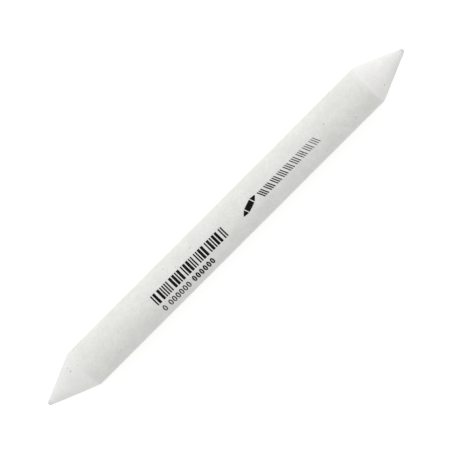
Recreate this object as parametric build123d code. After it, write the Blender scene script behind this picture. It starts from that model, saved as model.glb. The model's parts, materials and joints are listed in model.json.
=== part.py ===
"""A double-ended blending stump: felt paper wound tight in a round stick, with both ends sanded to cones.

Frame: millimetres. X runs along the stump, +Z is up, and the origin is under the middle of the stump,
on the surface that it lies on. The winding is drawn about the X axis and lifted into place at the end.

How it is wound: the core sheet starts as a crushed bead, three felt sheets follow it one after another
along a single spiral, and a thinner cover sheet closes the stick. Every turn is round about the axis
except in one narrow sector, the climb, where it steps up on to the turn below. Each sheet's free edge is
held by a line of paste, and all the layers are sanded together to the same two cones.
"""

import os
from math import cos, degrees, floor, pi, radians, sin

from build123d import *

# Overall sizes of the stick
STUMP_LENGTH = 140.0  # from tip to tip
STUMP_DIAMETER = 12.7
LEFT_CONE_LENGTH = 14.0  # along the axis, from the tip to the shoulder, at the -X end
RIGHT_CONE_LENGTH = 13.6  # the same at the +X end
TIP_DIAMETER = 1.0  # of the blunt end, before its rim is worn round
TIP_ROUND = 0.3
SHOULDER_ROUND = 0.5  # where the cone meets the barrel

# Paper
FELT_THICKNESS = 0.35
COVER_THICKNESS = 0.22
TURN_GAP = 0.04  # air between one turn and the next
LEAST_BEAD_RADIUS = 0.45  # the core sheet's crushed start is at least this thick
CORE_RADIUS = 1.7  # the core sheet ends at the turn nearest to this
FELT_SHEETS = ["felt_sheet_inner", "felt_sheet_middle", "felt_sheet_outer"]
BUTT_GAP = 0.15  # between a sheet's free edge and the start of the next sheet

# The climb, as angles about +X from +Y
CLIMB_START = 200.0
CLIMB_ANGLE = 54.0

# Paste
PASTE_WIDTH = 3.0  # under the free edge of the core sheet and of each felt sheet
LEAST_PASTE = 0.04  # under the cover's free edge, where its paste is thinnest

# Worked out from the sizes above
RADIUS = STUMP_DIAMETER / 2
COVER_INSIDE = RADIUS - COVER_THICKNESS
PITCH = FELT_THICKNESS + TURN_GAP
TURNS = floor((COVER_INSIDE - TURN_GAP - LEAST_BEAD_RADIUS) / PITCH)
BEAD_RADIUS = COVER_INSIDE - TURN_GAP - TURNS * PITCH
CORE_TURNS = max(1, round((CORE_RADIUS - BEAD_RADIUS) / PITCH))
CLIMB_END = CLIMB_START + CLIMB_ANGLE
CLIMB_AGAIN = CLIMB_START + 360  # the same place, one turn later
LAP_ANGLE = CLIMB_ANGLE * (PITCH - COVER_THICKNESS - LEAST_PASTE) / PITCH
STICK_LENGTH = STUMP_LENGTH + STUMP_DIAMETER  # before the ends are sanded


def outside(turn):
    """Outer radius of a turn in its round part. Turn 0 is the bead."""
    return BEAD_RADIUS + turn * PITCH


def inside(turn):
    """Inner radius of a turn in its round part. The bead is solid, so the sheet starts within it."""
    return outside(turn) - FELT_THICKNESS if turn else BEAD_RADIUS / 2


def angle_of(arc_length, radius):
    return degrees(arc_length / radius)


def polar(radius, angle):
    return (radius * cos(radians(angle)), radius * sin(radians(angle)))


def round_part(radius, start, end):
    return CenterArc((0, 0), radius, start, end - start)


def climb(before, after):
    """The curve that takes one side of a sheet from a turn's radius up to the next one's."""
    middle = polar((before + after) / 2, CLIMB_START + CLIMB_ANGLE / 2)
    return ThreePointArc(polar(before, CLIMB_START), middle, polar(after, CLIMB_END))


def closed_face(*curves):
    return make_face([edge for curve in curves for edge in curve.edges()])


def sheet_side(radii, end):
    """One side of a sheet: a climb and a round part for each turn after the radius that it starts from."""
    curves = []
    for before, after in zip(radii, radii[1:]):
        curves.append(climb(before, after))
        curves.append(round_part(after, CLIMB_END, CLIMB_AGAIN))
    curves[-1] = round_part(radii[-1], CLIMB_END, end)
    return curves


def sheet_face(inner_radii, outer_radii, end):
    """Section of a wound sheet, from its start at the climb to its free edge at the angle end."""
    start_edge = Line(polar(inner_radii[0], CLIMB_START), polar(outer_radii[0], CLIMB_START))
    free_edge = Line(polar(inner_radii[-1], end), polar(outer_radii[-1], end))
    return closed_face(start_edge, *sheet_side(outer_radii, end), free_edge, *sheet_side(inner_radii, end))


def ring_sector(inner, outer, start, end):
    return closed_face(
        round_part(inner, start, end),
        round_part(outer, start, end),
        Line(polar(inner, start), polar(outer, start)),
        Line(polar(inner, end), polar(outer, end)),
    )


def felt_face(first_turn, last_turn):
    """Section of a felt sheet that makes these turns, with room for the next sheet's start."""
    turns = range(first_turn - 1, last_turn + 1)
    end = CLIMB_AGAIN - angle_of(BUTT_GAP, outside(last_turn))
    return sheet_face([inside(t) for t in turns], [outside(t) for t in turns], end)


def core_face():
    return Circle(BEAD_RADIUS) + felt_face(1, CORE_TURNS)


def cover_face():
    lead = inside(TURNS)  # the cover starts where the last felt turn would have climbed on
    return sheet_face([lead, COVER_INSIDE], [lead + COVER_THICKNESS, RADIUS], CLIMB_AGAIN + LAP_ANGLE)


def felt_paste_face(last_turn):
    """Paste between a sheet's last turn and the turn below, up to the free edge."""
    bed, sheet = outside(last_turn - 1), inside(last_turn)
    end = CLIMB_AGAIN - angle_of(BUTT_GAP, outside(last_turn))
    return ring_sector(bed, sheet, end - angle_of(PASTE_WIDTH, sheet), end)


def cover_paste_face():
    """Paste between the cover's start and its free edge, which laps over it."""
    lead_outside = inside(TURNS) + COVER_THICKNESS
    bed = closed_face(
        climb(lead_outside, RADIUS),
        Line((0, 0), polar(lead_outside, CLIMB_START)),
        Line((0, 0), polar(RADIUS, CLIMB_END)),
    )
    return ring_sector(lead_outside, COVER_INSIDE, CLIMB_START, CLIMB_START + LAP_ANGLE) - bed


def turns_by_sheet():
    """(first turn, last turn) of each felt sheet, so that the sheets are nearly the same flat length."""
    turns = list(range(CORE_TURNS + 1, TURNS + 1))
    reached = {}
    length = 0.0
    for turn in turns:
        length += 2 * pi * (outside(turn) - FELT_THICKNESS / 2)
        reached[turn] = length
    count = len(FELT_SHEETS)
    lasts = [min(turns, key=lambda t: abs(reached[t] - length * (k + 1) / count)) for k in range(count)]
    firsts = [turns[0]] + [last + 1 for last in lasts[:-1]]
    return list(zip(firsts, lasts))


def sanded_blank():
    """The outline that the whole stick is sanded to: a barrel with a blunt cone at each end."""
    tip, half = TIP_DIAMETER / 2, STUMP_LENGTH / 2
    corners = [
        (-half, 0),
        (-half, tip),
        (-half + LEFT_CONE_LENGTH, RADIUS),
        (half - RIGHT_CONE_LENGTH, RADIUS),
        (half, tip),
        (half, 0),
    ]
    outline = FilletPolyline(*corners, radius=[TIP_ROUND, SHOULDER_ROUND, SHOULDER_ROUND, TIP_ROUND])
    return revolve(closed_face(outline, Line(corners[0], corners[-1])), Axis.X)


def wound_piece(face, blank):
    """A section run the length of the stick, sanded with the rest and laid on the surface below."""
    stick = extrude(Plane.YZ * face, STICK_LENGTH / 2, both=True)
    return Pos(0, 0, RADIUS) * (stick & blank)


def sections():
    """Section of every piece, by the piece's name."""
    found = {"core_sheet": core_face(), "core_paste": felt_paste_face(CORE_TURNS)}
    for name, (first, last) in zip(FELT_SHEETS, turns_by_sheet()):
        found[name] = felt_face(first, last)
        found[name.replace("sheet", "paste")] = felt_paste_face(last)
    found["cover_sheet"] = cover_face()
    found["cover_paste"] = cover_paste_face()
    return found


def main():
    os.makedirs("parts", exist_ok=True)
    blank = sanded_blank()
    for name, face in sections().items():
        export_step(wound_piece(face, blank), f"parts/{name}.step")
    print("turns", TURNS, "bead radius", round(BEAD_RADIUS, 3), "core turns", CORE_TURNS)
    print("turns of each felt sheet", turns_by_sheet(), "cover lap", round(LAP_ANGLE, 1), "degrees")


main()
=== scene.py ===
"""A double-ended paper blending stump: wound felt paper, sanded cones and a printed barrel.

The sheets are wound here turn by turn, as on the CAD model, and then sanded together. Units are metres.
Angles are in degrees about +X, counted from +Y towards +Z, and +X runs along the stump.
"""

import json
from math import atan2, ceil, cos, degrees, floor, hypot, pi, radians, sin, sqrt

import bmesh
import bpy
from mathutils import Matrix, Vector, noise


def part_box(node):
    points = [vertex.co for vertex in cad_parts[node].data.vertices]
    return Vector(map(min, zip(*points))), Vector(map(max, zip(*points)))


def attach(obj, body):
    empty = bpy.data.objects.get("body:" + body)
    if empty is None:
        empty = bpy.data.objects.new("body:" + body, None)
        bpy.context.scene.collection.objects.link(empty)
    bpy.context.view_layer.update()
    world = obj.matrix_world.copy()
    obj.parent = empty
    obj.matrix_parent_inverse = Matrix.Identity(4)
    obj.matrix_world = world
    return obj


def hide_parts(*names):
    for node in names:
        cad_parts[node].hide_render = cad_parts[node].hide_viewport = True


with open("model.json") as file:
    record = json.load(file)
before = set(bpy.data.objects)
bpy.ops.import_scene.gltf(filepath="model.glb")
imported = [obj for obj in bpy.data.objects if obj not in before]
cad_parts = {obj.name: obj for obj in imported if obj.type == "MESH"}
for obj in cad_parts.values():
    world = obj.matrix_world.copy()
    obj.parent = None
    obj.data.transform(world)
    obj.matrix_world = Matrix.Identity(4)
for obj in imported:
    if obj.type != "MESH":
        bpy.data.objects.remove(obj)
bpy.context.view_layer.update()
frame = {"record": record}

MM = 0.001
SHARP_ANGLE = 35.0  # edges sharper than this stay sharp

# The stick, from the frame
BARREL = next(m for m in frame["record"]["mounts"] if m["name"] == "barrel")
RADIUS = BARREL["dims"]["r_mm"] * MM
AXIS_HEIGHT = BARREL["pos_m"][2]
AXIS_POINT = (0.0, 0.0, AXIS_HEIGHT)
HALF_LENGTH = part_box("core_sheet")[1].x
HALF_BARREL = BARREL["dims"]["length_mm"] * MM / 2
SHOULDER = {side: HALF_BARREL + side * BARREL["pos_m"][0] for side in (-1, 1)}  # from the middle

# Paper and winding
FELT_THICKNESS = 0.35 * MM
COVER_THICKNESS = 0.22 * MM
TURN_GAP = 0.04 * MM
PITCH = FELT_THICKNESS + TURN_GAP
LEAST_BEAD = 0.45 * MM  # the smallest radius that the sheet's start can be crushed to
WOUND_RADIUS = RADIUS - COVER_THICKNESS - TURN_GAP
TURNS = floor((WOUND_RADIUS - LEAST_BEAD) / PITCH)
BEAD_RADIUS = WOUND_RADIUS - TURNS * PITCH
CLIMB_START = 200.0  # where each turn steps up on to the turn below
CLIMB_ANGLE = 54.0
ROUND_ANGLE = 360.0 - CLIMB_ANGLE
CLIMB_STEPS = 18
FACET_ANGLE = 2.4  # of the round part of a turn
BUTT_GAP = 0.15 * MM
LAP_ANGLE = 18.0  # how far the cover laps over its own start
PASTE_WIDTH = 3.0 * MM
FELT_SHEETS = ("core_sheet", "felt_sheet_inner", "felt_sheet_middle", "felt_sheet_outer")
TURN_SLACK = 0.05  # of a turn, so that a point on a turn's own outside counts in that turn

# Last turn of each sheet, from the frame
LAST_TURN = {node: round((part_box(node)[1].y - BEAD_RADIUS) / PITCH) for node in FELT_SHEETS}

# Sanding and wear, and a painted highlight by the cover's rims
TIP_RADIUS = 0.5 * MM
TIP_WEAR = 0.45 * MM  # how softly the blunt tip's rim is worn round
SLANT = {-1: 0.42 * MM, 1: 0.4 * MM}  # how far each cone's edge runs askew round the barrel
SLANT_ANGLE = {-1: 190.0, 1: 110.0}  # where it comes nearest to the middle
EDGE_WAVE = 0.3 * MM  # waviness of that edge
WAVE_FINENESS = 1.6  # how quickly it waves round the barrel
PLY_STEP = 0.012 * MM  # how far a turn may stand proud or back, along the stump
NAP_FLARE = 0.018 * MM  # sanded edges swell by this much and nearly close the gaps
NAP_DEPTH = 0.22 * MM  # how far in from its sanded edge a sheet is shaped by the sanding
NAP_BAND = NAP_DEPTH / 2  # that depth is modelled as two bands
GROOVE = 0.016 * MM  # depth, along the stump, of the groove between two turns
SHOULDER_WEAR = 0.035 * MM  # the cover's rim is rubbed down by this much
PAINTED_HIGHLIGHT_REACH = 2.4 * MM  # how far in from the cover's rim a painted highlight pales its face, where it reaches furthest
PAINTED_HIGHLIGHT_ANGLE = 30.0  # where the painted highlight reaches furthest: towards +Y and a little up
RIM_AND_PAINTED_HIGHLIGHT_PALING = 0.5  # how far the cover is paled towards the felt right beside the rim, by its sanding and by the painted highlight
COCKLE = 0.028 * MM  # the barrel's paper is up to this much out of round
COCKLE_LENGTH = 9 * MM
COVER_COLUMNS = 130  # stretches along the cover, so that it can be out of round
INK_ROOM = 0.008 * MM  # between the paper and the true round
BEAD_CORNERS = 72
BEAD_DOME = (0.85, 0.8, 0.75, 0.7, 0.6, 0.5)  # each ring on the bead's end, as a share of the last
CRUSH = 0.03 * MM  # unevenness of the bead's two blunt ends
CRUSH_GRAIN = 0.22 * MM
SINK = 0.12 * MM  # how far the core sheet's start stands below them
PASTE_SINK = 0.06 * MM  # how far the paste stands below the sanded surface
PASTE_CLEARANCE = 0.002 * MM

# Print on the barrel: places along X from the middle, and round it from the top towards +Y
INK_HALF_THICKNESS = 0.006 * MM
INK_CUT = 0.3 * MM  # longest stretch of a stroke between two cuts, so that it follows the barrel
BARS_FROM = -28.1 * MM
BARS_TO = -0.4 * MM
BARS_AROUND = -0.52 * MM
BAR_HEIGHT = 3.4 * MM
BAR_COUNT = 27
BAR_SPREAD = 0.05 * MM  # how much wider the ink has run than the bar
RINGS_FROM = -27.3 * MM
RING_PITCH = 1.4 * MM
RING_GROUP_GAP = 0.9 * MM
RING_GROUPS = ((1, 0.36 * MM), (6, 0.36 * MM), (6, 0.46 * MM))  # how many rings, and their stroke
RING_CORNERS = 24
RING_WIDTH = 1.15 * MM
RING_HEIGHT = 2.25 * MM
RINGS_AROUND = -4.33 * MM
STICK_AT = 9.45 * MM
STICK_AROUND = -0.42 * MM
STICK_LENGTH = 6.7 * MM
STICK_THICKNESS = 1.75 * MM
STICK_CONE = 1.6 * MM
STICK_TIP = 0.12  # width of a blunt tip, as a share of the small stump's thickness
STICK_GAP = 0.26 * MM  # between the small stump's barrel and its cones
STICK_LEAN = 19.0
SHADING_FROM = 13.7 * MM
SHADING_TO = 36.4 * MM
SHADING_AROUND = -0.52 * MM
SHADING_HEIGHT = 2.6 * MM
SHADING_CELLS = 9
SHADING_STROKES = 3  # in a cell
SHADING_GAP = 0.6  # between two cells, as a share of the room for one stroke
SHADING_LEAN = 24.0
SHADING_HEAVIEST = 0.38 * MM
SHADING_LIGHTEST = 0.22 * MM

# Colours of each paper (its hollows, its body, its paler clouds), and of fibres, specks, paste and ink
COVER_COLOURS = ((0.645, 0.645, 0.615), (0.725, 0.725, 0.697), (0.765, 0.765, 0.74))
FELT_COLOURS = ((0.715, 0.71, 0.693), (0.785, 0.78, 0.763), (0.825, 0.82, 0.803))
RAISED_FIBRE = (0.83, 0.825, 0.81)
SPECK = (0.36, 0.355, 0.34)
SANDED_RIM_AND_PAINTED_HIGHLIGHT = "sanded"  # the attribute that is 1 at the cover's sanded rims and fades inwards as a painted highlight
TIP_REACH = 1.8  # mm of each tip that has gone grey
TIP_GREY = 0.3  # how grey, at its very end
PASTE_PALE = (0.74, 0.71, 0.63)
PASTE_DEEP = (0.66, 0.62, 0.52)
INK_DEEP = (0.004, 0.004, 0.005)
INK_THIN = (0.01, 0.009, 0.009)

# Relief of the surfaces
COVER_RELIEF = 0.028 * MM
FELT_RELIEF = 0.035 * MM
PASTE_RELIEF = 0.02 * MM

# Studio
FLOOR_SIZE = 8.0
FLOOR_GREY = 0.35
FLOOR_GLOW = 0.74
SURROUND_STRENGTH = 0.4
BOX_DISTANCE = 4.0
BOX_SIZE = 2.8
SOFT_BOXES = (  # direction from the stump, power in watts
    ("left_end_box", (-1, 0.5, 0.5), 46.0),
    ("right_end_box", (1, 0.7, 0.5), 71.0),
    ("front_box", (0, -0.87, 0.5), 38.0),
    ("top_box", (0, 0.36, 1), 48.0),
)
VIEW_DISTANCE = 2.4
VIEW_TILT = 5.0  # degrees, towards +X
VIEW_CENTRE = Vector((0.35 * MM, 0, AXIS_HEIGHT))
VIEW_WIDTH = 125.86 * MM


def radial(angle, length=1.0):
    """A vector straight out from the stump's axis, at this angle."""
    return Vector((0.0, cos(radians(angle)), sin(radians(angle)))) * length


def polar(point):
    """Radius and angle of a point about the stump's axis."""
    y, z = point.y, point.z - AXIS_HEIGHT
    return hypot(y, z), degrees(atan2(z, y)) % 360


def outside(turn):
    """Outer radius of a turn in its round part. Turn 0 is the bead."""
    return BEAD_RADIUS + turn * PITCH


def cockle(x, angle):
    """How far the barrel's surface lies below the true round."""
    place = Vector((x, 0, 0)) + radial(angle, RADIUS)
    return INK_ROOM + COCKLE * (0.5 + 0.5 * noise.noise(place / COCKLE_LENGTH))


# Modelling by hand


def deselect_all():
    bpy.ops.object.select_all(action="DESELECT")


def choose(piece):
    """Makes this the only selected piece, and the one to work on."""
    deselect_all()
    piece.select_set(True)
    bpy.context.view_layer.objects.active = piece


def open_piece(name, add, **how):
    """A new primitive, open for editing, with everything on it selected."""
    deselect_all()
    add(**how)
    piece = bpy.context.object
    piece.name = name
    piece.data.name = name
    bpy.ops.object.mode_set(mode="EDIT")
    return piece


def close_piece():
    bpy.ops.object.mode_set(mode="OBJECT")


def pick(piece, wanted):
    """Selects the open piece's vertices that are wanted, with the edges and faces between them."""
    mesh = bmesh.from_edit_mesh(piece.data)
    mesh.select_mode = {"VERT"}
    for vert in mesh.verts:
        vert.select = wanted(vert.co)
    mesh.select_flush_mode()
    bmesh.update_edit_mesh(piece.data)


def pick_edges(piece, wanted):
    """Selects the open piece's edges that are wanted."""
    mesh = bmesh.from_edit_mesh(piece.data)
    mesh.select_mode = {"EDGE"}
    for edge in mesh.edges:
        edge.select_set(wanted(edge.verts[0].co, edge.verts[1].co))
    mesh.select_flush_mode()
    bmesh.update_edit_mesh(piece.data)


def turn_about_axis(angle):
    """Turns the selection about the stump's axis."""
    bpy.ops.transform.rotate(value=-radians(angle), orient_axis="X", center_override=AXIS_POINT)


def spin_about_axis(angle, steps):
    """Sweeps the selection round the stump's axis and leaves the far end selected."""
    bpy.ops.mesh.spin(steps=steps, angle=-radians(angle), center=AXIS_POINT, axis=(1, 0, 0))


def face_outwards(piece):
    """Turns the closed piece's faces outwards, also where it is too thin for Blender to tell."""
    choose(piece)
    bpy.ops.object.mode_set(mode="EDIT")
    bpy.ops.mesh.select_all(action="SELECT")
    bpy.ops.mesh.normals_make_consistent(inside=False)
    if bmesh.from_edit_mesh(piece.data).calc_volume(signed=True) < 0:
        bpy.ops.mesh.flip_normals()
    close_piece()


def shade(piece):
    """Shades the piece smooth, but keeps its sharp edges."""
    choose(piece)
    bpy.ops.object.shade_smooth_by_angle(angle=radians(SHARP_ANGLE))


def join(pieces, name):
    choose(pieces[0])
    for piece in pieces:
        piece.select_set(True)
    bpy.ops.object.join()
    pieces[0].name = name
    pieces[0].data.name = name
    return pieces[0]


def dress(piece, material, slot, *nodes):
    """Gives a finished piece its shading, its material and its place in the frame."""
    shade(piece)
    piece.data.materials.clear()
    piece.data.materials.append(material)
    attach(piece, "root")
    if nodes:
        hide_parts(*nodes)


# Winding


def shape_nap(piece, inner, outer, swells):
    """Shapes the flat section's two ends: each edge swells or wears, and dips to a groove at its side."""
    mesh = bmesh.from_edit_mesh(piece.data)
    for vert in mesh.verts:
        depth = HALF_LENGTH - abs(vert.co.x)
        share = max(0.0, 1 - depth / NAP_DEPTH) ** 2
        across = (vert.co.y - inner) / (outer - inner) * 2 - 1
        vert.co.y += swells[across > 0] * share * across * abs(across)
        side = 1 if vert.co.x > 0 else -1
        vert.co.x -= side * GROOVE * share * across**4
    bmesh.update_edit_mesh(piece.data)


def open_sheet(name, inner, outer, start=CLIMB_START, swells=(NAP_FLARE, NAP_FLARE), columns=1, plies=4):
    """A sheet's edge-on section at the start of its winding: a long strip with a nap band at each end."""
    piece = open_piece(name, bpy.ops.mesh.primitive_plane_add, size=1.0)
    inland = HALF_LENGTH - NAP_DEPTH
    bpy.ops.transform.resize(value=(2 * inland, outer - inner, 1))
    bpy.ops.transform.translate(value=(0, (inner + outer) / 2, AXIS_HEIGHT))
    if columns > 1:
        pick_edges(piece, lambda one, other: abs(one.x - other.x) > inland)
        bpy.ops.mesh.subdivide(number_cuts=columns - 1)
    almost = 0.99999 * inland
    for side in (-1, 1):
        pick(piece, lambda co: co.x * side > almost)
        for band in range(2):
            bpy.ops.mesh.extrude_region_move(TRANSFORM_OT_translate={"value": (side * NAP_BAND, 0, 0)})
    pick_edges(piece, lambda one, other: abs(one.y - other.y) > (outer - inner) / 2)
    bpy.ops.mesh.subdivide(number_cuts=plies - 1)
    shape_nap(piece, inner, outer, swells)
    bpy.ops.mesh.select_all(action="SELECT")
    turn_about_axis(start)
    return piece


def wind_climb():
    """Steps the sheet up on to the turn below, a little at a time as it goes round."""
    for step in range(CLIMB_STEPS):
        spin_about_axis(CLIMB_ANGLE / CLIMB_STEPS, 1)
        angle = CLIMB_START + CLIMB_ANGLE * (step + 1) / CLIMB_STEPS
        bpy.ops.transform.translate(value=radial(angle, PITCH / CLIMB_STEPS))


def wind_round(angle):
    spin_about_axis(angle, ceil(angle / FACET_ANGLE))


def wind_sheet(name, inner, outer, turns, spare_angle, **section):
    """Winds a sheet from the climb, for a number of turns, to spare_angle past the last turn's end."""
    piece = open_sheet(name, inner, outer, **section)
    for turn in range(turns):
        wind_climb()
        wind_round(ROUND_ANGLE + (spare_angle if turn == turns - 1 else 0))
    close_piece()
    face_outwards(piece)
    return piece


# Sanding


def climbed(angle):
    """Share of the climb that lies behind this angle. Before its start, the turn's own climb is done."""
    if angle < CLIMB_START:
        return 1.0
    return min(1.0, (angle - CLIMB_START) / CLIMB_ANGLE)


def sheet_turn(radius, angle):
    """Number of the turn that a point lies in, running on evenly through the climb."""
    share = climbed(angle)
    return ceil((radius - BEAD_RADIUS - PITCH * (share - 1)) / PITCH - TURN_SLACK) + share - 1


def reach(side, radius, angle):
    """Distance from the middle to the sanded surface of one end."""
    slope = (HALF_LENGTH - SHOULDER[side]) / (RADIUS - TIP_RADIUS)
    run = (radius - TIP_RADIUS) * slope
    cone = HALF_LENGTH - (run + sqrt(run * run + TIP_WEAR * TIP_WEAR)) / 2
    around = Vector((side * 3, 0, 0)) + radial(angle)
    wave = EDGE_WAVE * noise.noise(around * WAVE_FINENESS)
    askew = SLANT[side] * cos(radians(angle - SLANT_ANGLE[side])) + wave
    return cone - askew * (radius / RADIUS) ** 2


def ply_offset(radius, angle):
    """How far a turn's sanded edge stands back. It differs from turn to turn, and fades out at the bead."""
    turn = sheet_turn(radius, angle)
    unevenness = 0.6 * sin(2.3 * turn) + 0.4 * sin(5.1 * turn + 1.0)
    return PLY_STEP * unevenness * min(1.0, radius / (3 * BEAD_RADIUS))


def sand(piece, sunk=0.0):
    """Draws both ends of a wound piece back to the sanded surface, or sunk below it."""
    for vert in piece.data.vertices:
        radius, angle = polar(vert.co)
        side = 1 if vert.co.x > 0 else -1
        end = reach(side, radius, angle) - ply_offset(radius, angle) - sunk
        vert.co.x *= end / HALF_LENGTH


# The pieces of the roll


def wind_core():
    """The core sheet: a crushed bead with domed ends, and the first turns round it."""
    ring = {"vertices": BEAD_CORNERS, "radius": BEAD_RADIUS}
    bead = open_piece("core_roll", bpy.ops.mesh.primitive_circle_add, **ring)
    bpy.ops.transform.rotate(value=pi / 2, orient_axis="Y", center_override=(0, 0, 0))
    bpy.ops.transform.translate(value=(-HALF_LENGTH, 0, AXIS_HEIGHT))
    bpy.ops.mesh.extrude_region_move(TRANSFORM_OT_translate={"value": (2 * HALF_LENGTH, 0, 0)})
    for side in (-1, 1):
        pick(bead, lambda co: co.x * side > 0)
        for shrink in BEAD_DOME:
            bpy.ops.mesh.extrude_region_move()
            bpy.ops.transform.resize(value=(1, shrink, shrink), center_override=(0, 0, AXIS_HEIGHT))
        bpy.ops.mesh.merge(type="CENTER")
    close_piece()
    sand(bead)
    for vert in bead.data.vertices:
        side = 1 if vert.co.x > 0 else -1
        vert.co.x -= side * CRUSH * (0.5 + 0.5 * noise.noise(vert.co / CRUSH_GRAIN))
    turns = LAST_TURN["core_sheet"]
    sheet = wind_sheet("core_turns", BEAD_RADIUS - FELT_THICKNESS, BEAD_RADIUS, turns, butt(turns))
    sand(sheet)
    for vert in sheet.data.vertices:
        radius, angle = polar(vert.co)
        if radius < BEAD_RADIUS:
            vert.co.x *= 1 - SINK / HALF_LENGTH
    core = join([bead, sheet], "core_roll")
    face_outwards(core)
    return core


def butt(turn):
    """How far short of a full turn a sheet ends, so that the next sheet can butt against it."""
    return -degrees(BUTT_GAP / outside(turn))


def wind_felt(name, first, last):
    """A felt sheet, from its first turn to its last."""
    inner = outside(first - 1) - FELT_THICKNESS
    sheet = wind_sheet(name, inner, outside(first - 1), last - first + 1, butt(last))
    sand(sheet)
    return sheet


def share_paled_by_rim_and_painted_highlight(depth, angle):
    """Share of the cover that is paled, this far in from its sanded rim: sanded open right at the rim, and
    beyond it a painted highlight that reaches furthest towards +Y and a little up.
    """
    if depth < NAP_BAND / 2:
        return 1.0
    reach_of_rim_and_painted_highlight = NAP_BAND + PAINTED_HIGHLIGHT_REACH * (0.5 + 0.5 * cos(radians(angle - PAINTED_HIGHLIGHT_ANGLE)))
    return RIM_AND_PAINTED_HIGHLIGHT_PALING * max(0.0, 1 - depth / reach_of_rim_and_painted_highlight)


def wind_cover():
    """The cover: one turn that laps over its own start, rubbed down along both rims."""
    inner = outside(TURNS) - FELT_THICKNESS
    worn = {"swells": (NAP_FLARE, -SHOULDER_WEAR), "columns": COVER_COLUMNS, "plies": 3}
    cover = wind_sheet("cover_wrap", inner, inner + COVER_THICKNESS, 1, LAP_ANGLE, **worn)
    # Marks the cover's pale sanded rims, and beside them a painted highlight that is widest towards +Y and
    # a little up
    paled_by_rim_and_painted_highlight = cover.data.attributes.new(SANDED_RIM_AND_PAINTED_HIGHLIGHT, "FLOAT", "POINT")
    for vert in cover.data.vertices:
        paled_by_rim_and_painted_highlight.data[vert.index].value = share_paled_by_rim_and_painted_highlight(HALF_LENGTH - abs(vert.co.x), polar(vert.co)[1])
    sand(cover)
    for vert in cover.data.vertices:
        radius, angle = polar(vert.co)
        vert.co -= radial(angle, cockle(vert.co.x, angle))
    return cover


def spread_paste(name, turn):
    """The line of paste between the end of a sheet's last turn and the turn below."""
    bed = outside(turn - 1) + PASTE_CLEARANCE
    top = outside(turn) - FELT_THICKNESS - PASTE_CLEARANCE
    width = degrees(PASTE_WIDTH / top)
    start = CLIMB_START + butt(turn) - width
    paste = open_sheet(name, bed, top, start=start, swells=(0, 0), plies=2)
    spin_about_axis(width, ceil(width / FACET_ANGLE))
    close_piece()
    face_outwards(paste)
    sand(paste, sunk=PASTE_SINK)
    return paste


def spread_cover_paste():
    """The wedge of paste between the cover's start and its free edge."""
    lead = outside(TURNS) - FELT_THICKNESS + COVER_THICKNESS
    top = RADIUS - COVER_THICKNESS - PASTE_CLEARANCE
    middle = (lead + top) / 2
    section = {"swells": (0, 0), "columns": COVER_COLUMNS, "plies": 2}
    paste = open_sheet("cover_paste_line", lead, top, **section)
    spin_about_axis(LAP_ANGLE, ceil(LAP_ANGLE / FACET_ANGLE))
    close_piece()
    sand(paste, sunk=PASTE_SINK)
    for vert in paste.data.vertices:
        radius, angle = polar(vert.co)
        bed = lead + PITCH * climbed(max(angle, CLIMB_START)) + PASTE_CLEARANCE
        level = top if radius > middle else bed
        vert.co += radial(angle, level - radius - cockle(vert.co.x, angle))
    face_outwards(paste)
    return paste


# The print


def start_mark(name):
    """An empty mark, open for its strokes to be added flat."""
    deselect_all()
    bpy.ops.object.add(type="MESH")
    mark = bpy.context.object
    mark.name = name
    mark.data.name = name
    bpy.ops.object.mode_set(mode="EDIT")
    return mark


def place_selection(at, around, lean=0.0):
    """Leans what is selected and moves it to its place, while the mark is flat."""
    bpy.ops.transform.rotate(value=-radians(lean), orient_axis="Z", center_override=(0, 0, 0))
    bpy.ops.transform.translate(value=(at, around, 0))


def print_stroke(width, height, at, around, lean=0.0):
    """A straight stroke, laid out flat: width along X and height round the barrel, before it leans."""
    cuts = {"x_subdivisions": ceil(width / INK_CUT), "y_subdivisions": ceil(height / INK_CUT)}
    bpy.ops.mesh.primitive_grid_add(size=1.0, **cuts)
    bpy.ops.transform.resize(value=(width, height, 1))
    place_selection(at, around, lean)


def print_ring(width, height, stroke, at, around):
    """An oval ring, laid out flat."""
    bpy.ops.mesh.primitive_circle_add(vertices=RING_CORNERS, radius=0.5)
    bpy.ops.transform.resize(value=(width, height, 1))
    place_selection(at, around)
    bpy.ops.mesh.extrude_region_move()
    narrowed = (1 - 2 * stroke / width, 1 - 2 * stroke / height, 1)
    bpy.ops.transform.resize(value=narrowed, center_override=(at, around, 0))


def print_cone(mark, side):
    """One cone of the small stump: a stroke that narrows to a blunt tip."""
    bpy.ops.mesh.primitive_grid_add(size=1.0, x_subdivisions=6, y_subdivisions=4)
    bpy.ops.transform.resize(value=(STICK_CONE, STICK_THICKNESS, 1))
    bpy.ops.transform.translate(value=(side * (STICK_LENGTH - STICK_CONE) / 2, 0, 0))
    mesh = bmesh.from_edit_mesh(mark.data)
    for vert in mesh.verts:
        if vert.select:
            share = (STICK_LENGTH / 2 - abs(vert.co.x)) / STICK_CONE
            vert.co.y *= STICK_TIP + (1 - STICK_TIP) * share
    bmesh.update_edit_mesh(mark.data)
    place_selection(STICK_AT, STICK_AROUND, STICK_LEAN)


def wrap_on_barrel(mark):
    """Lays a flat mark on the barrel and gives the ink its thickness."""
    bpy.ops.mesh.select_all(action="SELECT")
    bpy.ops.mesh.remove_doubles(threshold=0.001 * MM)
    close_piece()
    for vert in mark.data.vertices:
        angle = 90 - degrees(vert.co.y / RADIUS)
        surface = RADIUS - cockle(vert.co.x, angle)
        vert.co = Vector((vert.co.x, 0, AXIS_HEIGHT)) + radial(angle, surface)
    body = mark.modifiers.new("ink", "SOLIDIFY")
    body.thickness = 2 * INK_HALF_THICKNESS
    body.offset = 0.0
    choose(mark)
    bpy.ops.object.modifier_apply(modifier=body.name)
    face_outwards(mark)
    return mark


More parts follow.
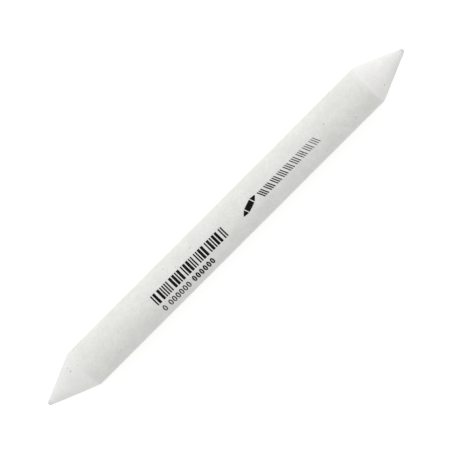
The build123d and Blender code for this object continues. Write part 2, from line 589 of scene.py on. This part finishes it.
def print_bars():
    """A strip of upright bars, thick and thin in no order that means anything."""
    bars = [1 + (7 * k * k + 3 * k) % 11 % 3 for k in range(BAR_COUNT)]
    gaps = [1 + (5 * k * k + k + 2) % 9 % 5 // 3 for k in range(BAR_COUNT - 1)]
    module = (BARS_TO - BARS_FROM) / (sum(bars) + sum(gaps))
    mark = start_mark("bar_strip")
    at = BARS_FROM
    for bar, gap in zip(bars, gaps + [0]):
        print_stroke(bar * module + BAR_SPREAD, BAR_HEIGHT, at + bar * module / 2, BARS_AROUND)
        at += (bar + gap) * module
    return wrap_on_barrel(mark)


def print_rings():
    """A row of plain rings under the bars."""
    mark = start_mark("ring_row")
    at = RINGS_FROM
    for count, stroke in RING_GROUPS:
        for ring in range(count):
            print_ring(RING_WIDTH, RING_HEIGHT, stroke, at, RINGS_AROUND)
            at += RING_PITCH
        at += RING_GROUP_GAP
    return wrap_on_barrel(mark)


def print_emblem():
    """A small stump, with its cones set off from its barrel."""
    mark = start_mark("small_stump")
    barrel = STICK_LENGTH - 2 * STICK_CONE - 2 * STICK_GAP
    print_stroke(barrel, STICK_THICKNESS, STICK_AT, STICK_AROUND, STICK_LEAN)
    for side in (-1, 1):
        print_cone(mark, side)
    return wrap_on_barrel(mark)


def print_shading():
    """A row of slanted pencil strokes that fades from heavy to light."""
    mark = start_mark("shading_row")
    pitch = (SHADING_TO - SHADING_FROM) / SHADING_CELLS
    for cell in range(SHADING_CELLS):
        share = cell / (SHADING_CELLS - 1)
        weight = SHADING_HEAVIEST + (SHADING_LIGHTEST - SHADING_HEAVIEST) * share
        for stroke in range(SHADING_STROKES):
            at = SHADING_FROM + pitch * (cell + (stroke + 0.5) / (SHADING_STROKES + SHADING_GAP))
            print_stroke(weight, SHADING_HEIGHT, at, SHADING_AROUND, lean=SHADING_LEAN)
    return wrap_on_barrel(mark)


# Materials


def new_material(name):
    material = bpy.data.materials.new(name)
    material.use_nodes = True
    tree = material.node_tree
    return material, tree, tree.nodes["Principled BSDF"]


def in_millimetres(tree, stretch=(1, 1, 1), turn=(0, 0, 0)):
    """Places on the piece, in millimetres, stretched and turned."""
    place = tree.nodes.new("ShaderNodeTexCoord")
    mapping = tree.nodes.new("ShaderNodeMapping")
    mapping.inputs["Scale"].default_value = Vector(stretch) / MM
    mapping.inputs["Rotation"].default_value = [radians(angle) for angle in turn]
    tree.links.new(place.outputs["Object"], mapping.inputs["Vector"])
    return mapping.outputs["Vector"]


def noise_at(tree, places, scale, detail=2.0, roughness=0.5, distortion=0.0):
    texture = tree.nodes.new("ShaderNodeTexNoise")
    texture.inputs["Scale"].default_value = scale
    texture.inputs["Detail"].default_value = detail
    texture.inputs["Roughness"].default_value = roughness
    texture.inputs["Distortion"].default_value = distortion
    tree.links.new(places, texture.inputs["Vector"])
    return texture.outputs["Fac"]


def ranged(tree, value, low, high, to_low=0.0, to_high=1.0):
    """Maps value from low..high to to_low..to_high, smoothly and no further."""
    node = tree.nodes.new("ShaderNodeMapRange")
    node.interpolation_type = "SMOOTHSTEP"
    node.inputs["From Min"].default_value = low
    node.inputs["From Max"].default_value = high
    node.inputs["To Min"].default_value = to_low
    node.inputs["To Max"].default_value = to_high
    tree.links.new(value, node.inputs["Value"])
    return node.outputs["Result"]


def maths(tree, operation, first, second):
    """The result of an operation on two values, each a number or a node's output."""
    node = tree.nodes.new("ShaderNodeMath")
    node.operation = operation
    for socket, value in zip(node.inputs, (first, second)):
        if isinstance(value, (int, float)):
            socket.default_value = value
        else:
            tree.links.new(value, socket)
    return node.outputs["Value"]


def blended(tree, share, first, second):
    """A colour between first and second; each is a colour or a node's output."""
    node = tree.nodes.new("ShaderNodeMix")
    node.data_type = "RGBA"
    tree.links.new(share, node.inputs["Factor"])
    for socket, colour in ((node.inputs[6], first), (node.inputs[7], second)):
        if isinstance(colour, tuple):
            socket.default_value = (*colour, 1.0)
        else:
            tree.links.new(colour, socket)
    return node.outputs[2]


def bumped(tree, shader, height, strength, depth):
    """Gives the shader's surface this relief, up to depth high."""
    bump = tree.nodes.new("ShaderNodeBump")
    bump.inputs["Strength"].default_value = strength
    bump.inputs["Distance"].default_value = depth
    tree.links.new(height, bump.inputs["Height"])
    tree.links.new(bump.outputs["Normal"], shader.inputs["Normal"])


def warped(tree, places, scale, amount):
    """Places pushed about by noise of this scale, so that what lies on them has ragged outlines."""
    texture = tree.nodes.new("ShaderNodeTexNoise")
    texture.inputs["Scale"].default_value = scale
    texture.inputs["Detail"].default_value = 3.0
    tree.links.new(places, texture.inputs["Vector"])
    push = tree.nodes.new("ShaderNodeVectorMath")
    push.operation = "MULTIPLY_ADD"
    push.inputs[1].default_value = (amount, amount, amount)
    tree.links.new(texture.outputs["Color"], push.inputs[0])
    tree.links.new(places, push.inputs[2])
    return push.outputs["Vector"]


def flecks(tree, places, size, radius, presence, most):
    """Flecks of this radius in a share of the cells of this size, in millimetres, and at most so strong."""
    cells = tree.nodes.new("ShaderNodeTexVoronoi")
    cells.inputs["Scale"].default_value = 1 / size
    tree.links.new(places, cells.inputs["Vector"])
    channels = tree.nodes.new("ShaderNodeSeparateColor")
    tree.links.new(cells.outputs["Color"], channels.inputs["Color"])
    spot = ranged(tree, cells.outputs["Distance"], radius / size, 0.4 * radius / size)
    chosen = ranged(tree, channels.outputs["Red"], 1 - presence, 1 - presence + 0.02)
    strength = ranged(tree, channels.outputs["Green"], 0.0, 1.0, 0.35 * most, most)
    return maths(tree, "MULTIPLY", maths(tree, "MULTIPLY", spot, chosen), strength)


def fibre_lines(tree, places, scale, width, most):
    """Fine curling lines, as felted fibres lie, at most so strong."""
    tangle = noise_at(tree, places, scale, detail=1.0, distortion=2.5)
    aside = maths(tree, "ABSOLUTE", maths(tree, "SUBTRACT", tangle, 0.5), 0.0)
    return ranged(tree, aside, width, 0.0, 0.0, most)


def paper(name, colours, mottle, relief):
    """Felted paper: cloudy, clumped, with curling fibres, pale flecks and a few grey specks.

    Colours are those of its hollows, its body and its paler clouds.
    """
    material, tree, shader = new_material(name)
    places = in_millimetres(tree)
    clouds = noise_at(tree, places, 0.2)
    patches = noise_at(tree, places, 0.55)
    clumps = noise_at(tree, warped(tree, places, scale=2.0, amount=0.5), 1.5, detail=4.0, roughness=0.6)
    grain = noise_at(tree, places, 9.0, detail=3.0)
    along = in_millimetres(tree, stretch=(0.5, 1, 1))
    pale_fibres = fibre_lines(tree, along, scale=1.1, width=0.022, most=0.75)
    turned = in_millimetres(tree, stretch=(1, 0.6, 0.6), turn=(0, 35, 60))
    dim_fibres = fibre_lines(tree, turned, scale=1.7, width=0.016, most=0.55)
    ragged = warped(tree, places, scale=3.5, amount=0.5)
    more_ragged = warped(tree, places, scale=5.0, amount=0.4)
    shadow, body, light = colours
    layers = (
        (ranged(tree, clouds, 0.3, 0.7), light),
        (ranged(tree, patches, 0.35, 0.65, 0.0, 0.7 * mottle), shadow),
        (ranged(tree, clumps, 0.34, 0.66, 0.0, 0.8 * mottle), shadow),
        (dim_fibres, shadow),
        (pale_fibres, RAISED_FIBRE),
        (flecks(tree, ragged, size=1.5, radius=0.24, presence=0.5, most=0.6), RAISED_FIBRE),
        (flecks(tree, ragged, size=1.6, radius=0.26, presence=0.4, most=0.3), SPECK),
        (flecks(tree, more_ragged, size=2.4, radius=0.3, presence=0.42, most=1.0), SPECK),
    )
    colour = body
    for share, over in layers:
        colour = blended(tree, share, colour, over)
    tree.links.new(colour, shader.inputs["Base Color"])
    height = maths(tree, "ADD", maths(tree, "MULTIPLY", clumps, 0.5), maths(tree, "MULTIPLY", grain, 0.3))
    height = maths(tree, "ADD", height, maths(tree, "MULTIPLY", pale_fibres, 0.3))
    bumped(tree, shader, height, 0.6, relief)
    shader.inputs["Roughness"].default_value = 0.92
    shader.inputs["Specular IOR Level"].default_value = 0.1
    shader.inputs["Sheen Weight"].default_value = 0.03
    shader.inputs["Sheen Roughness"].default_value = 0.5
    return material, tree, shader, colour


def cover_paper():
    """Pressed smooth on the barrel, and paler where it is sanded open at its two rims, with a painted
    highlight that widens that pale band towards +Y and a little up.
    """
    material, tree, shader, colour = paper("cover_paper", COVER_COLOURS, 0.5, COVER_RELIEF)
    # The cover is paled by its sanded rims and by the painted highlight beside them
    sanded = tree.nodes.new("ShaderNodeAttribute")
    sanded.attribute_name = SANDED_RIM_AND_PAINTED_HIGHLIGHT
    paled_by_rim_and_painted_highlight = blended(tree, sanded.outputs["Fac"], colour, FELT_COLOURS[1])
    tree.links.new(paled_by_rim_and_painted_highlight, shader.inputs["Base Color"])
    return material


def felt_paper():
    """Sanded soft, and a little grey at the two tips."""
    material, tree, shader, colour = paper("felt_paper", FELT_COLOURS, 0.4, FELT_RELIEF)
    place = tree.nodes.new("ShaderNodeSeparateXYZ")
    tree.links.new(in_millimetres(tree), place.inputs["Vector"])
    from_middle = maths(tree, "ABSOLUTE", place.outputs["X"], 0.0)
    near_tip = ranged(tree, from_middle, HALF_LENGTH / MM - TIP_REACH, HALF_LENGTH / MM, 0.0, TIP_GREY)
    greyed = blended(tree, near_tip, colour, SPECK)
    tree.links.new(greyed, shader.inputs["Base Color"])
    return material


def dried_paste():
    """Starch paste, dried to a dull yellowish film."""
    material, tree, shader = new_material("dried_paste")
    places = in_millimetres(tree)
    streaks = noise_at(tree, in_millimetres(tree, stretch=(0.3, 2, 2)), 1.2, detail=3.0)
    colour = blended(tree, ranged(tree, streaks, 0.35, 0.65), PASTE_PALE, PASTE_DEEP)
    tree.links.new(colour, shader.inputs["Base Color"])
    bumped(tree, shader, noise_at(tree, places, 4.0), 0.4, PASTE_RELIEF)
    shader.inputs["Roughness"].default_value = 0.5
    return material


def printing_ink():
    """Black ink that has soaked into the paper, and missed some of its hollows."""
    material, tree, shader = new_material("printing_ink")
    places = in_millimetres(tree)
    thinness = ranged(tree, noise_at(tree, places, 2.5, detail=3.0), 0.35, 0.7)
    soaked = blended(tree, thinness, INK_DEEP, INK_THIN)
    hollows = noise_at(tree, places, 9.0, detail=3.0, roughness=0.6)
    missed = ranged(tree, hollows, 0.64, 0.78, 0.0, 0.2)
    tree.links.new(blended(tree, missed, soaked, COVER_COLOURS[0]), shader.inputs["Base Color"])
    shader.inputs["Roughness"].default_value = 0.8
    shader.inputs["Specular IOR Level"].default_value = 0.08
    return material


# Assembly


def wind_roll():
    """Winds and sands every sheet, with the paste that holds it."""
    felt = felt_paper()
    dress(wind_core(), felt, "felt_paper", "core_sheet")
    last = LAST_TURN["core_sheet"]
    for place in ("inner", "middle", "outer"):
        node = f"felt_sheet_{place}"
        dress(wind_felt(f"felt_wind_{place}", last + 1, LAST_TURN[node]), felt, "felt_paper", node)
        last = LAST_TURN[node]
    dress(wind_cover(), cover_paper(), "cover_paper", "cover_sheet")
    paste = dried_paste()
    for node, last in LAST_TURN.items():
        line = node.replace("sheet", "paste")
        dress(spread_paste(f"{line}_line", last), paste, "dried_paste", line)
    dress(spread_cover_paste(), paste, "dried_paste", "cover_paste")


def print_barrel():
    """Prints the four marks."""
    ink = printing_ink()
    for mark in (print_bars(), print_rings(), print_emblem(), print_shading()):
        dress(mark, ink, "printing_ink")


# Studio


def soft_box(name, towards, power):
    """A square light that faces the stump, from the direction towards it."""
    light = bpy.data.lights.new(name, "AREA")
    light.shape = "SQUARE"
    light.size = BOX_SIZE
    light.energy = power
    lamp = bpy.data.objects.new(name, light)
    lamp.location = Vector(AXIS_POINT) + Vector(towards).normalized() * BOX_DISTANCE
    lamp.rotation_euler = Vector(towards).to_track_quat("Z", "Y").to_euler()
    bpy.context.scene.collection.objects.link(lamp)


def lay_floor():
    """A pale sheet that glows a little, so that hardly a shadow is left on it."""
    deselect_all()
    bpy.ops.mesh.primitive_plane_add(size=FLOOR_SIZE)
    floor_piece = bpy.context.object
    floor_piece.name = "floor"
    material, tree, shader = new_material("pale_floor")
    shader.inputs["Base Color"].default_value = (FLOOR_GREY, FLOOR_GREY, FLOOR_GREY, 1)
    shader.inputs["Roughness"].default_value = 0.9
    shader.inputs["Specular IOR Level"].default_value = 0.1
    shader.inputs["Emission Color"].default_value = (1, 1, 1, 1)
    shader.inputs["Emission Strength"].default_value = FLOOR_GLOW
    floor_piece.data.materials.append(material)


def light_studio():
    """Soft light from both ends, from the front (-Y) and from above, and a plain pale surrounding."""
    scene = bpy.context.scene
    scene.view_settings.view_transform = "Standard"
    scene.world = bpy.data.worlds.new("studio")
    scene.world.use_nodes = True
    surroundings = scene.world.node_tree.nodes["Background"].inputs
    surroundings["Color"].default_value = (1, 1, 1, 1)
    surroundings["Strength"].default_value = SURROUND_STRENGTH
    for name, towards, power in SOFT_BOXES:
        soft_box(name, towards, power)


def place_camera():
    """A long lens over the stump, a little towards +X, with the stump from lower left to upper right."""
    back = Vector((sin(radians(VIEW_TILT)), 0, cos(radians(VIEW_TILT))))
    along = Vector((cos(radians(VIEW_TILT)), 0, -sin(radians(VIEW_TILT))))
    across = Vector((0, 1, 0))
    turned = Matrix(((along - across) / sqrt(2), (along + across) / sqrt(2), back)).transposed()
    camera = bpy.data.objects.new("camera", bpy.data.cameras.new("camera"))
    camera.matrix_world = Matrix.Translation(VIEW_CENTRE + back * VIEW_DISTANCE) @ turned.to_4x4()
    camera.data.lens = camera.data.sensor_width * VIEW_DISTANCE / VIEW_WIDTH
    camera.data.clip_end = 2 * VIEW_DISTANCE
    bpy.context.scene.collection.objects.link(camera)
    bpy.context.scene.camera = camera


place_camera()
wind_roll()
print_barrel()
lay_floor()
light_studio()
